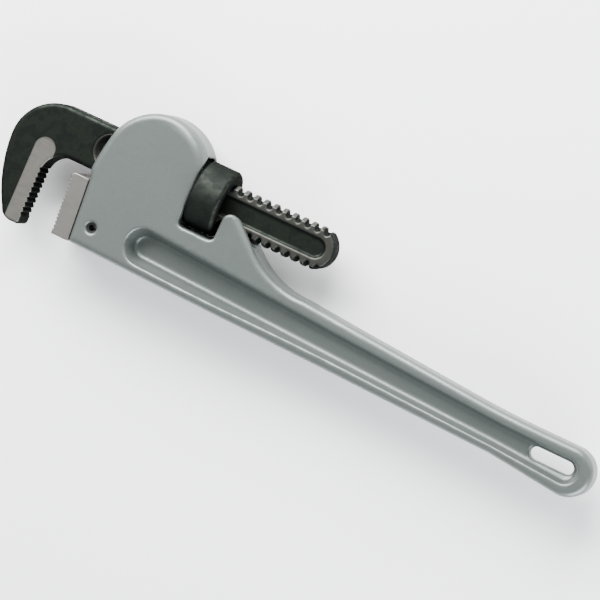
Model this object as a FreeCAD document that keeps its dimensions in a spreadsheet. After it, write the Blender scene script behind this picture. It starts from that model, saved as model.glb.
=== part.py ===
import FreeCAD, Part
import math
import os
import re
import Sketcher

# A straight pipe wrench of the 18 inch size with a cast aluminium handle, jaws 20 mm open.
# It lies on its side. While the pieces are drawn, the zero point is on the axis of the adjusting
# nut, X runs along the shank toward the handle's end, Y toward the back of the housing and Z
# through the thickness. At the end every piece moves by one shift, so that the zero point is
# the bottom centre of the box around the whole wrench. Sizes are in millimetres.

Vector = FreeCAD.Vector
doc = FreeCAD.newDocument("PipeWrench")
sheet = doc.addObject("Spreadsheet::Sheet", "Dims")

# ---------------------------------------------------------------- driving dimensions

DIMENSIONS = [
    # screw thread between the shank and the nut
    ("shank_radius", 13.3, "crest radius of the threaded edges"),
    ("thread_depth", 2.3, "crest to root"),
    ("thread_pitch", 6.35, "four turns to the inch"),
    ("thread_root_half", 0.95, "half the groove's width at its root"),
    ("flank_slope", 0.42, "groove half width gained per mm of depth"),
    ("thread_crest_x", 0.7, "a crest on the back edge"),
    ("thread_play_radial", 0.4, "nut to shank, crest to root"),
    ("thread_play_axial", 0.3, "nut to shank, each flank"),
    ("cutter_over", 0.6, "how far the thread cutter stands out of the metal"),
    # cutting shapes, all pieces
    ("overrun", 20, "how far a cutting shape runs past the metal"),
    ("lead_in", 1, "how far a cut starts outside the face it opens"),
    # adjusting nut
    ("nut_mid_x", 1.4, "middle of its length"),
    ("nut_radius", 20.6, ""),
    ("nut_length", 19.2, ""),
    ("nut_chamfer", 1.6, ""),
    # hook jaw
    ("shank_thickness", 14.7, "flat to flat"),
    ("jaw_thickness", 17.5, "hook and neck, face to face"),
    ("jaw_opening", 19.8, "hook teeth to the top of the heel teeth"),
    ("hook_tooth_to_neck", 62, "hook teeth to the end of the full neck"),
    ("hook_tooth_to_end", 182.8, "hook teeth to the rounded end of the shank"),
    ("shank_overlap", 4, "how far the shank's blank reaches into the neck"),
    ("neck_back", 1.3, "neck above the thread crests, back edge"),
    ("neck_belly", 0.9, "neck below the thread crests, belly edge"),
    ("hook_back_radius", 28, "round of the back corner"),
    ("hook_width", 26.8, "teeth to the outermost back"),
    ("hook_flank_radius", 90, "outer flank"),
    ("hook_flank_in", 10.6, "flank's lower end, in from the outermost back"),
    ("hook_flank_up", 9.1, "flank's lower end, up from the tip"),
    ("hook_heel_in", 1.9, "short straight run below the flank, across"),
    ("hook_heel_down", 3.5, "the same run, down"),
    ("hook_tip_in", 9.4, "flank's lower end to the start of the flat tip"),
    ("hook_depth", 62.5, "nut axis to the hook's tip"),
    ("hook_tip_radius", 8.5, ""),
    ("hook_toe_radius", 2.5, ""),
    ("throat_radius", 13, ""),
    ("forging_round", 2.6, "round of the forged edges"),
    ("strip_width", 10.3, "milled strip beside the teeth"),
    ("strip_over", 3.4, "how far the strip's cutter ran past the teeth"),
    ("strip_sink", 0.3, "how deep the strip is milled"),
    ("recess_depth", 3, "forged channel in each side"),
    ("recess_half_neck", 10.6, "half width in the neck"),
    ("recess_half_shank", 6.2, "half width between the threads"),
    ("recess_left", 24.3, "hook teeth to the channel's left end"),
    ("recess_margin", 5.4, "channel's right end to the shank's end"),
    ("recess_wide_stop", 14, "channel starts to narrow, before the neck's end"),
    ("recess_slim_start", 4, "channel is narrow, before the neck's end"),
    # teeth, both jaws
    ("tooth_pitch", 3.2, "hook"),
    ("tooth_depth", 1.9, "hook"),
    ("tooth_rise", 2, "first tooth above the end of the throat's round"),
    ("fine_pitch", 2.4, "heel jaw"),
    ("fine_depth", 0.9, "heel jaw"),
    ("fine_margin", 0.8, "heel jaw, plain metal above and below the teeth"),
    ("notch_share", 0.3, "deepest point of a notch, as a share of the pitch"),
    ("notch_land", 0.02, "plain metal between two notches, half"),
    # housing, the head of the handle
    ("head_x", -35.6, "centre of the round back"),
    ("head_y", 1.8, ""),
    ("head_radius", 33.2, ""),
    ("head_thickness", 30, ""),
    ("head_round", 4, "round of the casting's long edges"),
    ("face_lean", 35.8, "head centre to the left face"),
    ("face_low_y", -12.5, "where the left face is furthest left"),
    ("face_radius", 150, "slight bow of the left face"),
    ("face_start", 163, "degrees round the head to where the left face begins"),
    ("rock_gap_back", 5.9, "housing channel above the neck"),
    ("rock_gap_belly", 3.3, "housing channel below the neck"),
    ("rock_gap_ear", 2.6, "slot floor below the threads"),
    ("side_gap", 0.4, "channel wall to the neck's side"),
    # nut window and ears
    ("window_gap_left", 0.75, "nut to the window's left wall"),
    ("window_gap_right", 3.6, ""),
    ("window_gap_floor", 1.1, ""),
    ("window_corner", 3, ""),
    ("window_spare", 2, "metal left in the window until the casting's edges are round"),
    ("ear_top_y", -2.6, ""),
    ("ear_tip_radius", 5, ""),
    ("ear_crown", 9.9, "radius of the ear's shoulder"),
    ("ear_run", 11, "straight slope behind the shoulder"),
    ("ear_fall", 9.6, "how far that slope falls"),
    ("ear_sweep", 56, "hollow between the ear and the grip"),
    # grip, an I beam
    ("waist_x", 78, "where the back line starts"),
    ("waist_y", -30.5, ""),
    ("grip_x", 214, "where the back line levels out"),
    ("grip_back_y", -40.3, ""),
    ("grip_bend", 20, "half the length of the gentle bend there"),
    ("belly_left_y", -58, "belly line at the heel jaw"),
    ("belly_right_y", -65.3, "belly line at grip_x"),
    ("reach", 275.5, "nut's thread zero to the end of the handle"),
    ("end_radius", 14.9, ""),
    ("grip_thickness", 20, ""),
    ("taper_start", -15, "where the head starts to thin"),
    ("taper_end", 125, ""),
    ("web_thickness", 8, ""),
    ("web_round", 3.2, "round at the foot of the flanges"),
    ("pocket_draft", 22, "degrees, slope of the pocket's walls"),
    ("pocket_left_x", -22.6, "pocket's floor, round left end"),
    ("pocket_left_y", -42.4, ""),
    ("pocket_left_radius", 7, ""),
    ("pocket_right_back", 2, "pocket's right end before the handle's end arc"),
    ("pocket_right_radius", 5.8, ""),
    ("back_flange", 8.2, "back line to the pocket's floor, at grip_x"),
    ("belly_flange", 7, "belly line to the pocket's floor, at grip_x"),
    ("hang_length", 28, "hang slot"),
    ("hang_width", 8, ""),
    ("hang_margin", 12.8, "slot to the end of the handle"),
    ("hang_rise", 1.1, "slot above the middle of the end arc"),
    # heel jaw and its pin
    ("heel_tooth_x", -80.4, "top of the tooth face"),
    ("heel_lean", 2.4, "tooth face leans back by this much at the bottom"),
    ("heel_top_y", -19.3, ""),
    ("heel_corner", 2, "round above the teeth"),
    ("heel_thickness", 27, ""),
    ("seat_top_x", -69.5, "joint between the heel jaw and the handle"),
    ("seat_bottom_x", -66.6, ""),
    ("tongue_length", 19, "heel jaw's tongue in the handle"),
    ("tongue_thickness", 9, ""),
    ("tongue_up", 3, "tongue's lower edge above the heel jaw's"),
    ("tongue_play", 0.15, ""),
    ("pin_x", -56.2, ""),
    ("pin_y", -44.8, ""),
    ("pin_diameter", 6.4, ""),
    ("pin_wall", 1.3, "rolled spring steel"),
    ("pin_slit", 0.9, ""),
    ("pin_play", 0.05, "hole to pin, on the radius"),
    ("pin_sink", 2.4, "pin ends below the handle's faces"),
    # flat spring above the neck
    ("leaf_width", 10, ""),
    ("leaf_thickness", 1, ""),
    ("leaf_left_x", -65, ""),
    ("leaf_touch_x", -48, ""),
    ("leaf_right_x", -17, ""),
    ("leaf_flat", 5, "flat end beyond the rivet"),
    ("leaf_curl", 2.2, "rise of the free end"),
    ("leaf_gap", 0.06, "springs to neck"),
    ("rivet_x", -22, ""),
    ("rivet_diameter", 3.2, ""),
    ("rivet_head", 6.4, "head diameter"),
    ("rivet_head_height", 1.4, ""),
    ("rivet_bevel", 0.8, "bevel of the head, across"),
    ("rivet_brim", 0.4, "straight edge under the bevel"),
    ("rivet_point", 0.6, "bevel of the rivet's inner end"),
    ("rivet_grip", 7, "length in the roof"),
    # coil spring below the neck
    ("coil_x", -42, ""),
    ("coil_radius", 3.6, "axis to the wire's centre"),
    ("coil_wire", 1.2, ""),
    ("coil_turns", 5.5, ""),
    ("coil_well", 13, "depth of its hole in the handle"),
    ("coil_play", 0.5, "hole to coil"),
]

ALIASES = [alias for alias, number, note in DIMENSIONS]
for row, (alias, number, note) in enumerate(DIMENSIONS, start=1):
    sheet.set(f"A{row}", alias)
    sheet.set(f"B{row}", str(number))
    sheet.set(f"C{row}", note)
    sheet.setAlias(f"B{row}", alias)
doc.recompute()

# Sizes that follow from the driving dimensions, as expressions over the sheet.
SHARED = {
    "hook_x": "(heel_tooth_x - jaw_opening)",
    "neck_top": "(shank_radius + neck_back)",
    "neck_bottom": "(-shank_radius - neck_belly)",
    "root_radius": "(shank_radius - thread_depth)",
    "roof_y": "(shank_radius + neck_back + rock_gap_back)",
    "floor_y": "(-shank_radius - neck_belly - rock_gap_belly)",
    "nut_left": "(nut_mid_x - nut_length/2)",
    "nut_right": "(nut_mid_x + nut_length/2)",
    "window_left": "(nut_mid_x - nut_length/2 - window_gap_left)",
    "window_right": "(nut_mid_x + nut_length/2 + window_gap_right)",
    "window_floor": "(-nut_radius - window_gap_floor)",
    "end_x": "(reach - end_radius)",
    "end_y": "(grip_back_y - end_radius)",
    "ear_x": "(nut_mid_x + nut_length/2 + window_gap_right + ear_tip_radius + ear_crown*sin(45))",
    "ear_y": "(ear_top_y - ear_crown*(1 - cos(45)))",
    "grip_z": "(grip_thickness/2)",
    "head_z": "(head_thickness/2)",
    "web_z": "(web_thickness/2)",
    "hang_y": "(grip_back_y - end_radius + hang_rise)",
    "thread_groove_x": "(thread_crest_x + thread_pitch/2)",
}


def ref(expression):
    """Writes an expression over the dimensions' names as FreeCAD reads it from another object."""
    text = str(expression)
    for _ in range(3):
        text = re.sub(r"\{(\w+)\}", lambda found: SHARED[found.group(1)], text)
    return re.sub(r"(?<![.\w])([a-z]\w*)", lambda f: "Dims." + f[1] if f[1] in ALIASES else f[1], text)


def size(expression):
    """The present number of an expression over the dimensions' names."""
    return float(sheet.evalExpression(ref(expression).replace("Dims.", "")))


def bind(item, path, expression):
    """Ties one property of a feature to the dimensions."""
    item.setExpression(path, ref(expression))


# ---------------------------------------------------------------- sketches and features


def new_body(name):
    """An empty body whose label is the name of the piece."""
    body = doc.addObject("PartDesign::Body", name)
    body.Label = name
    return body


def origin_item(body, role):
    """One of the body's own planes or axes."""
    return next(item for item in body.Origin.OriginFeatures if item.Role == role)


def new_sketch(body, name, role="XY_Plane", lift="0"):
    """A sketch on one of the body's own planes, lifted along the plane's normal."""
    sketch = body.newObject("Sketcher::SketchObject", name)
    sketch.AttachmentSupport = [(origin_item(body, role), "")]
    sketch.MapMode = "FlatFace"
    bind(sketch, "AttachmentOffset.Base.z", lift)
    return sketch


def pin_point(sketch, geometry, end, x, y):
    """Holds one point of a sketch at a place given by two expressions."""
    for kind, expression, number in (("DistanceX", x, size(x)), ("DistanceY", y, size(y))):
        index = sketch.addConstraint(Sketcher.Constraint(kind, -1, 1, geometry, end, number))
        sketch.renameConstraint(index, f"{kind}{index}")
        bind(sketch, f"Constraints.{kind}{index}", expression)


def arc_centre(start, finish, radius, left):
    """The centre of the arc under half a turn from start to finish, turning left or right."""
    chord = finish - start
    rise = math.sqrt(max(radius**2 - chord.Length**2 / 4, 0))
    side = Vector(-chord.y, chord.x, 0).normalize()
    return (start + finish) / 2 + side * (rise if left else -rise)


def add_arc(sketch, start, finish, radius, left):
    """Adds an arc and says which of its ends is the start: arcs always run anticlockwise."""
    centre = arc_centre(start, finish, radius, left)
    first, last = (start, finish) if left else (finish, start)
    angles = [math.atan2(point.y - centre.y, point.x - centre.x) for point in (first, last)]
    if angles[1] < angles[0]:
        angles[1] += 2 * math.pi
    curve = Part.ArcOfCircle(Part.Circle(centre, Vector(0, 0, 1), radius), *angles)
    return sketch.addGeometry(curve, False), (1, 2) if left else (2, 1)


def draw_loop(sketch, steps):
    """
    Draws one closed outline. A step (x, y) is a straight run to that point, and a step
    (x, y, radius, "left" or "right") is an arc to it that turns that way.
    """
    points = [Vector(size(step[0]), size(step[1]), 0) for step in steps]
    runs = []
    for number, step in enumerate(steps):
        start, finish = points[number - 1], points[number]
        if len(step) == 2:
            runs.append((sketch.addGeometry(Part.LineSegment(start, finish), False), (1, 2)))
        else:
            runs.append(add_arc(sketch, start, finish, size(step[2]), step[3] == "left"))
    for number, step in enumerate(steps):
        here, ends = runs[number]
        following, next_ends = runs[(number + 1) % len(runs)]
        sketch.addConstraint(Sketcher.Constraint("Coincident", here, ends[1], following, next_ends[0]))
        pin_point(sketch, here, ends[1], step[0], step[1])
        if len(step) == 4:
            index = sketch.addConstraint(Sketcher.Constraint("Radius", here, size(step[2])))
            sketch.renameConstraint(index, f"Radius{index}")
            bind(sketch, f"Constraints.Radius{index}", step[2])


def draw_circle(sketch, x, y, radius):
    """Draws a full circle."""
    circle = Part.Circle(Vector(size(x), size(y), 0), Vector(0, 0, 1), size(radius))
    geometry = sketch.addGeometry(circle, False)
    pin_point(sketch, geometry, 3, x, y)
    index = sketch.addConstraint(Sketcher.Constraint("Radius", geometry, size(radius)))
    sketch.renameConstraint(index, f"Radius{index}")
    bind(sketch, f"Constraints.Radius{index}", radius)


def feature(body, kind, name, sketch, length, symmetric=False, flip=False, taper="0"):
    """A pad or pocket of the sketch, checked for having changed the body the right way."""
    before = body.Shape.Volume if body.Tip else 0
    item = body.newObject(f"PartDesign::{kind}", name)
    item.Profile = sketch
    item.Reversed = flip
    item.SideType = "Symmetric" if symmetric else "One side"
    bind(item, "Length", length)
    bind(item, "TaperAngle", taper)
    return settle(body, item, before, grows=kind == "Pad")


def settle(body, item, before, grows):
    """Recomputes the body and makes sure that the feature added or removed material."""
    doc.recompute()
    change = body.Shape.Volume - before
    if (change > 0) != grows or abs(change) < 1e-3:
        failed = [f"{part.Name}: {part.State}" for part in body.Group if "Up-to-date" not in part.State]
        raise RuntimeError(f"{item.Name} changed {body.Name} by {change:.3f} mm3; {failed}")
    return item


def round_edges(body, name, radius, chosen):
    """Fillets the edges of the body's tip that chosen(edge) picks."""
    base = body.Tip
    names = [f"Edge{k}" for k, edge in enumerate(base.Shape.Edges, start=1) if chosen(edge)]
    item = body.newObject("PartDesign::Fillet", name)
    item.Base = (base, names)
    bind(item, "Radius", radius)
    doc.recompute()
    if "Invalid" in item.State:
        raise RuntimeError(f"{item.Name} can't round {names}")
    return item


def middle_of(edge):
    """The point halfway along an edge."""
    return edge.valueAt((edge.FirstParameter + edge.LastParameter) / 2)


def cut_thread(body, sketch, turns):
    """Cuts a right-handed helical groove round the X axis."""
    before = body.Shape.Volume
    item = body.newObject("PartDesign::SubtractiveHelix", f"{body.Name}_thread")
    item.Profile = sketch
    item.ReferenceAxis = (origin_item(body, "X_Axis"), [""])
    item.Mode = "pitch-turns-angle"
    bind(item, "Pitch", "thread_pitch")
    item.Turns = turns
    settle(body, item, before, grows=False)


# ---------------------------------------------------------------- handle


def make_handle():
    """The aluminium casting: housing, nut window, ears and the I-beam grip in one piece."""
    body = new_body("handle")
    outline = new_sketch(body, "handle_outline")
    notch_left = "({window_left} + window_spare)"
    notch_right = "({window_right} + window_spare)"
    slope = "(waist_y - grip_back_y)/(grip_x - waist_x)"
    bend = "(sqrt(1 + (slope)^2) + 1)/(slope)*sqrt((1 + 1/sqrt(1 + (slope)^2))/2)".replace("slope", slope)
    run, rise = "({end_x} - grip_x)", "({end_y} - belly_right_y)"
    tilt = f"(asin(end_radius/sqrt({run}^2 + {rise}^2)) - atan({rise}/{run}))"
    draw_loop(outline, [
        ("seat_bottom_x", "belly_left_y"),
        ("grip_x", "belly_right_y"),
        (f"{{end_x}} - end_radius*sin({tilt})", f"{{end_y}} - end_radius*cos({tilt})"),
        ("{end_x} + end_radius", "{end_y}", "end_radius", "left"),
        ("{end_x}", "grip_back_y", "end_radius", "left"),
        ("grip_x + grip_bend", "grip_back_y"),
        ("grip_x - grip_bend", f"grip_back_y + grip_bend*{slope}", f"grip_bend*{bend}", "right"),
        ("waist_x", "waist_y"),
        ("{ear_x} + ear_run", "{ear_y} - ear_fall", "ear_sweep", "right"),
        (notch_right, f"{{ear_y}} + ({{ear_x}} - {notch_right})*ear_fall/ear_run"),
        (notch_right, "ear_top_y + window_spare"),
        (notch_left, "ear_top_y + window_spare"),
        (notch_left, f"head_y + sqrt(head_radius^2 - ({notch_left} - head_x)^2)"),
        ("head_x", "head_y + head_radius", "head_radius", "left"),
        ("head_x + head_radius*cos(face_start)", "head_y + head_radius*sin(face_start)", "head_radius",
         "left"),
        ("head_x - face_lean", "face_low_y", "face_radius", "left"),
        ("seat_top_x", "heel_top_y"),
    ])
    feature(body, "Pad", "handle_blank", outline, "head_thickness", symmetric=True)

    taper = new_sketch(body, "handle_taper", "XZ_Plane")
    fall = "((taper_end - taper_start)^2 + ({head_z} - {grip_z})^2)/(4*({head_z} - {grip_z}))"
    for side in ("", "-"):
        start, finish = ("left", "right") if side else ("right", "left")
        draw_loop(taper, [
            ("taper_start", side + "{head_z}"),
            ("(taper_start + taper_end)/2", f"{side}({{head_z}} + {{grip_z}})/2", fall, start),
            ("taper_end", side + "{grip_z}", fall, finish),
            ("reach + overrun", side + "{grip_z}"),
            ("reach + overrun", f"{side}({{head_z}} + overrun)"),
            ("taper_start", f"{side}({{head_z}} + overrun)"),
        ])
    feature(body, "Pocket", "handle_thinning", taper, "reach*2", symmetric=True)

    inner = size("{grip_z}") - 0.01
    round_edges(body, "handle_round", "head_round",
                lambda edge: on_face_rim(edge, inner) and not in_window(edge))

    for side in (1, -1):
        label = "front" if side > 0 else "back"
        pocket = new_sketch(body, f"pocket_{label}", "XY_Plane", f"{side}*{{web_z}}")
        draw_loop(pocket, pocket_steps())
        feature(body, "Pocket", f"beam_{label}", pocket, "head_thickness", flip=side > 0,
                taper="pocket_draft")
        level = side*size("{web_z}")
        round_edges(body, f"web_round_{label}", "web_round",
                    lambda edge, level=level: at_level(edge, level))

    window = new_sketch(body, "window_outline")
    draw_loop(window, [
        ("{window_left}", "{window_floor} + window_corner"),
        ("{window_left} + window_corner", "{window_floor}", "window_corner", "left"),
        ("{window_right} - window_corner", "{window_floor}"),
        ("{window_right}", "{window_floor} + window_corner", "window_corner", "left"),
        ("{window_right}", "ear_top_y - ear_tip_radius"),
        ("{window_right} + ear_tip_radius", "ear_top_y", "ear_tip_radius", "right"),
        ("{ear_x}", "{ear_y}", "ear_crown", "right"),
        ("{ear_x}", "head_y + head_radius + overrun"),
        ("{window_left}", "head_y + head_radius + overrun"),
    ])
    feature(body, "Pocket", "nut_window", window, "head_thickness*2", symmetric=True)

    hang = new_sketch(body, "hang_outline")
    half = "hang_width/2"
    left = "(reach - hang_margin - hang_length + hang_width/2)"
    right = "(reach - hang_margin - hang_width/2)"
    draw_loop(hang, [
        (left, f"{{hang_y}} - {half}", half, "left"),
        (right, f"{{hang_y}} - {half}"),
        (f"{right} + {half}", "{hang_y}", half, "left"),
        (right, f"{{hang_y}} + {half}", half, "left"),
        (left, f"{{hang_y}} + {half}"),
        (f"{left} - {half}", "{hang_y}", half, "left"),
    ])
    feature(body, "Pocket", "hang_slot", hang, "head_thickness*2", symmetric=True)
    make_handle_hollows(body)
    return body


def pocket_steps():
    """The outline of the floor of the I beam's pocket, parallel to the grip's edges."""
    right = "({end_x} - pocket_right_back)"
    return [
        ("pocket_left_x", "pocket_left_y - pocket_left_radius", "pocket_left_radius", "left"),
        ("grip_x", "belly_right_y + belly_flange"),
        (right, "{end_y} - pocket_right_radius"),
        (f"{right} + pocket_right_radius", "{end_y}", "pocket_right_radius", "left"),
        (right, "{end_y} + pocket_right_radius", "pocket_right_radius", "left"),
        ("grip_x", "grip_back_y - back_flange"),
        ("pocket_left_x", "pocket_left_y + pocket_left_radius"),
        ("pocket_left_x - pocket_left_radius", "pocket_left_y", "pocket_left_radius", "left"),
    ]


def on_face_rim(edge, inner):
    """Whether an edge runs along the rim of one of the casting's two side faces, not across one."""
    low, high = edge.BoundBox.ZMin, edge.BoundBox.ZMax
    seams = [size("taper_start"), size("(taper_start + taper_end)/2"), size("taper_end")]
    across = edge.BoundBox.XLength < 1e-3 and any(abs(middle_of(edge).x - x) < 1e-3 for x in seams)
    return (low > inner or high < -inner) and not across


def in_window(edge):
    """Whether a rim edge lies in the metal that the nut window takes away."""
    point = middle_of(edge)
    left, right = size("{window_left}"), size("{window_right} + window_spare") + 0.01
    return left < point.x < right and size("{window_floor}") < point.y < size("head_y + head_radius")


def at_level(edge, level):
    """Whether an edge lies flat at this height above the middle plane."""
    low, high = edge.BoundBox.ZMin, edge.BoundBox.ZMax
    return high - low < 1e-4 and abs(middle_of(edge).z - level) < 1e-4


def make_handle_hollows(body):
    """The jaw channel, ear slot, heel jaw slot, pin hole and the seats of the two springs."""
    channel = new_sketch(body, "channel_outline")
    draw_loop(channel, [
        ("head_x - face_lean - overrun", "{floor_y}"),
        ("{window_left} + lead_in", "{floor_y}"),
        ("{window_left} + lead_in", "{roof_y}"),
        ("head_x - face_lean - overrun", "{roof_y}"),
    ])
    feature(body, "Pocket", "jaw_channel", channel, "jaw_thickness + 2*side_gap", symmetric=True)

    slot = new_sketch(body, "ear_slot_outline")
    draw_loop(slot, [
        ("{window_right} - lead_in", "-shank_radius - rock_gap_ear"),
        ("waist_x", "-shank_radius - rock_gap_ear"),
        ("waist_x", "shank_radius"),
        ("{window_right} - lead_in", "shank_radius"),
    ])
    feature(body, "Pocket", "ear_slot", slot, "shank_thickness + 4*side_gap", symmetric=True)

    tongue = new_sketch(body, "tongue_slot_outline")
    draw_loop(tongue, [
        ("seat_top_x - overrun", "belly_left_y + tongue_up - tongue_play"),
        ("seat_top_x + tongue_length + tongue_play", "belly_left_y + tongue_up - tongue_play"),
        ("seat_top_x + tongue_length + tongue_play", "{floor_y} + lead_in"),
        ("seat_top_x - overrun", "{floor_y} + lead_in"),
    ])
    feature(body, "Pocket", "tongue_slot", tongue, "tongue_thickness + 2*tongue_play", symmetric=True)

    hole = new_sketch(body, "pin_hole_outline")
    draw_circle(hole, "pin_x", "pin_y", "pin_diameter/2 + pin_play")
    feature(body, "Pocket", "pin_hole", hole, "head_thickness*2", symmetric=True)

    well = new_sketch(body, "coil_well_outline", "XZ_Plane", "-({floor_y} + lead_in)")
    draw_circle(well, "coil_x", "0", "coil_radius + coil_wire/2 + coil_play")
    feature(body, "Pocket", "coil_seat", well, "coil_well + lead_in", flip=True)

    rivet = new_sketch(body, "rivet_hole_outline", "XZ_Plane", "-({roof_y} - lead_in)")
    draw_circle(rivet, "rivet_x", "0", "rivet_diameter/2")
    feature(body, "Pocket", "rivet_hole", rivet, "rivet_grip + lead_in")


# ---------------------------------------------------------------- hook jaw


def make_hook_jaw():
    """The forged upper jaw with its neck and threaded shank."""
    body = new_body("hook_jaw")
    outline = new_sketch(body, "hook_outline")
    flank_end_x = "({hook_x} - hook_width + hook_flank_in)"
    flank_end_y = "(-hook_depth + hook_flank_up)"
    draw_loop(outline, [
        ("{hook_x} + hook_tooth_to_neck", "{neck_top}"),
        ("{hook_x} - hook_width + hook_back_radius", "{neck_top}"),
        ("{hook_x} - hook_width", "{neck_top} - hook_back_radius", "hook_back_radius", "left"),
        (flank_end_x, flank_end_y, "hook_flank_radius", "left"),
        (f"{flank_end_x} + hook_heel_in", f"{flank_end_y} - hook_heel_down"),
        (f"{flank_end_x} + hook_tip_in", "-hook_depth", "hook_tip_radius", "left"),
        ("{hook_x} - hook_toe_radius", "-hook_depth"),
        ("{hook_x}", "-hook_depth + hook_toe_radius", "hook_toe_radius", "left"),
        ("{hook_x}", "{neck_bottom} - throat_radius"),
        ("{hook_x} + throat_radius", "{neck_bottom}", "throat_radius", "right"),
        ("{hook_x} + hook_tooth_to_neck", "{neck_bottom}"),
    ])
    feature(body, "Pad", "hook_blank", outline, "jaw_thickness", symmetric=True)
    tooth_x = size("{hook_x}") - 0.1
    neck_end = size("{hook_x} + hook_tooth_to_neck") - 0.1
    toe_y = size("-hook_depth + hook_toe_radius") + 1
    throat_y = size("{neck_bottom} - throat_radius") - 0.1

    def forged(edge):
        """Rim edges of the two faces, apart from the toothed side, the toe and the neck's end."""
        point = middle_of(edge)
        flat = edge.BoundBox.ZLength < 1e-4
        toothed = point.x > tooth_x and point.y < throat_y
        return flat and not toothed and point.x < neck_end and not (
            point.y < toe_y and point.x > size("{hook_x}") - size("hook_toe_radius") - 0.1)

    round_edges(body, "hook_round", "forging_round", forged)

    shank = new_sketch(body, "shank_outline")
    start = "({hook_x} + hook_tooth_to_neck - shank_overlap)"
    finish = "({hook_x} + hook_tooth_to_end)"
    draw_loop(shank, [
        (f"{finish} - shank_radius", "-shank_radius"),
        (finish, "0", "shank_radius", "left"),
        (f"{finish} - shank_radius", "shank_radius", "shank_radius", "left"),
        (start, "shank_radius"),
        (start, "-shank_radius"),
    ])
    feature(body, "Pad", "shank_blank", shank, "shank_thickness", symmetric=True)

    turned = new_sketch(body, "shank_turning", "YZ_Plane", "{hook_x} + hook_tooth_to_neck")
    draw_circle(turned, "0", "0", "shank_radius*2")
    draw_circle(turned, "0", "0", "shank_radius")
    feature(body, "Pocket", "shank_turned", turned, "hook_tooth_to_end", flip=True)

    turns = size("(hook_tooth_to_end - hook_tooth_to_neck)/thread_pitch")
    lead = math.floor((size("{hook_x} + hook_tooth_to_neck - {thread_groove_x}")) / size("thread_pitch"))
    mouth = "shank_radius + cutter_over"
    widest = "(thread_root_half + flank_slope*(thread_depth + cutter_over))"
    profile = new_sketch(body, "shank_groove")
    at_x = f"{{thread_groove_x}} + ({lead + 1})*thread_pitch"
    draw_loop(profile, [
        (f"{at_x} - thread_root_half", "{root_radius}"),
        (f"{at_x} + thread_root_half", "{root_radius}"),
        (f"{at_x} + {widest}", mouth),
        (f"{at_x} - {widest}", mouth),
    ])
    cut_thread(body, profile, round(turns + 1))

    teeth = new_sketch(body, "hook_teeth_outline")
    draw_teeth(teeth, "{hook_x}", "{hook_x}", "{neck_bottom} - throat_radius + tooth_rise",
               "-hook_depth + hook_toe_radius", "tooth_pitch", "tooth_depth", -1)
    feature(body, "Pocket", "hook_teeth", teeth, "jaw_thickness*2", symmetric=True)

    for side in (1, -1):
        label = "front" if side > 0 else "back"
        strip = new_sketch(body, f"strip_{label}", "XY_Plane",
                           f"{side}*(jaw_thickness/2 - strip_sink)")
        left = "({hook_x} - strip_width)"
        crown = "((strip_width + strip_over)/2)"
        draw_loop(strip, [
            ("{hook_x} + strip_over", "-hook_depth*2"),
            ("{hook_x} + strip_over", "{neck_bottom}"),
            (f"{left} + {crown}", f"{{neck_bottom}} + {crown}", crown, "left"),
            (left, "{neck_bottom}", crown, "left"),
            (left, "-hook_depth*2"),
        ])
        feature(body, "Pocket", f"milled_{label}", strip, "jaw_thickness", flip=side > 0)

        recess = new_sketch(body, f"recess_{label}", "XY_Plane",
                            f"{side}*(jaw_thickness/2 - recess_depth)")
        wide = "recess_half_neck"
        slim = "recess_half_shank"
        left = "({hook_x} + recess_left + recess_half_neck)"
        right = "({hook_x} + hook_tooth_to_end - recess_margin - recess_half_shank)"
        step = "({hook_x} + hook_tooth_to_neck)"
        draw_loop(recess, [
            (left, f"-{wide}", wide, "left"),
            (f"{step} - recess_wide_stop", f"-{wide}"),
            (f"{step} - recess_slim_start", f"-{slim}"),
            (right, f"-{slim}"),
            (f"{right} + {slim}", "0", slim, "left"),
            (right, slim, slim, "left"),
            (f"{step} - recess_slim_start", slim),
            (f"{step} - recess_wide_stop", wide),
            (left, wide),
            (f"{left} - {wide}", "0", wide, "left"),
        ])
        feature(body, "Pocket", f"channel_{label}", recess, "jaw_thickness", flip=side > 0)
    return body


def draw_teeth(sketch, top_x, bottom_x, top_y, bottom_y, pitch, depth, inward):
    """
    One closed loop per notch of a toothed face that runs from its top to its bottom point.
    inward is the way into the metal along X: -1 or 1.
    """
    count = math.floor((size(top_y) - size(bottom_y)) / size(pitch))
    lean = f"(({bottom_x}) - ({top_x}))/(({top_y}) - ({bottom_y}))"
    for number in range(count):
        high = f"({top_y}) - {number}*{pitch}"
        low = f"({top_y}) - {number + 1}*{pitch}"
        high_x = f"({top_x}) + {lean}*{number}*{pitch}"
        low_x = f"({top_x}) + {lean}*{number + 1}*{pitch}"
        draw_loop(sketch, [
            (f"{high_x} - {inward}*cutter_over", f"{high} - notch_land"),
            (f"{high_x} + {inward}*{depth}", f"{high} - notch_share*{pitch}"),
            (f"{low_x} - {inward}*cutter_over", f"{low} + notch_land"),
        ])


# ---------------------------------------------------------------- adjusting nut


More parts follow.
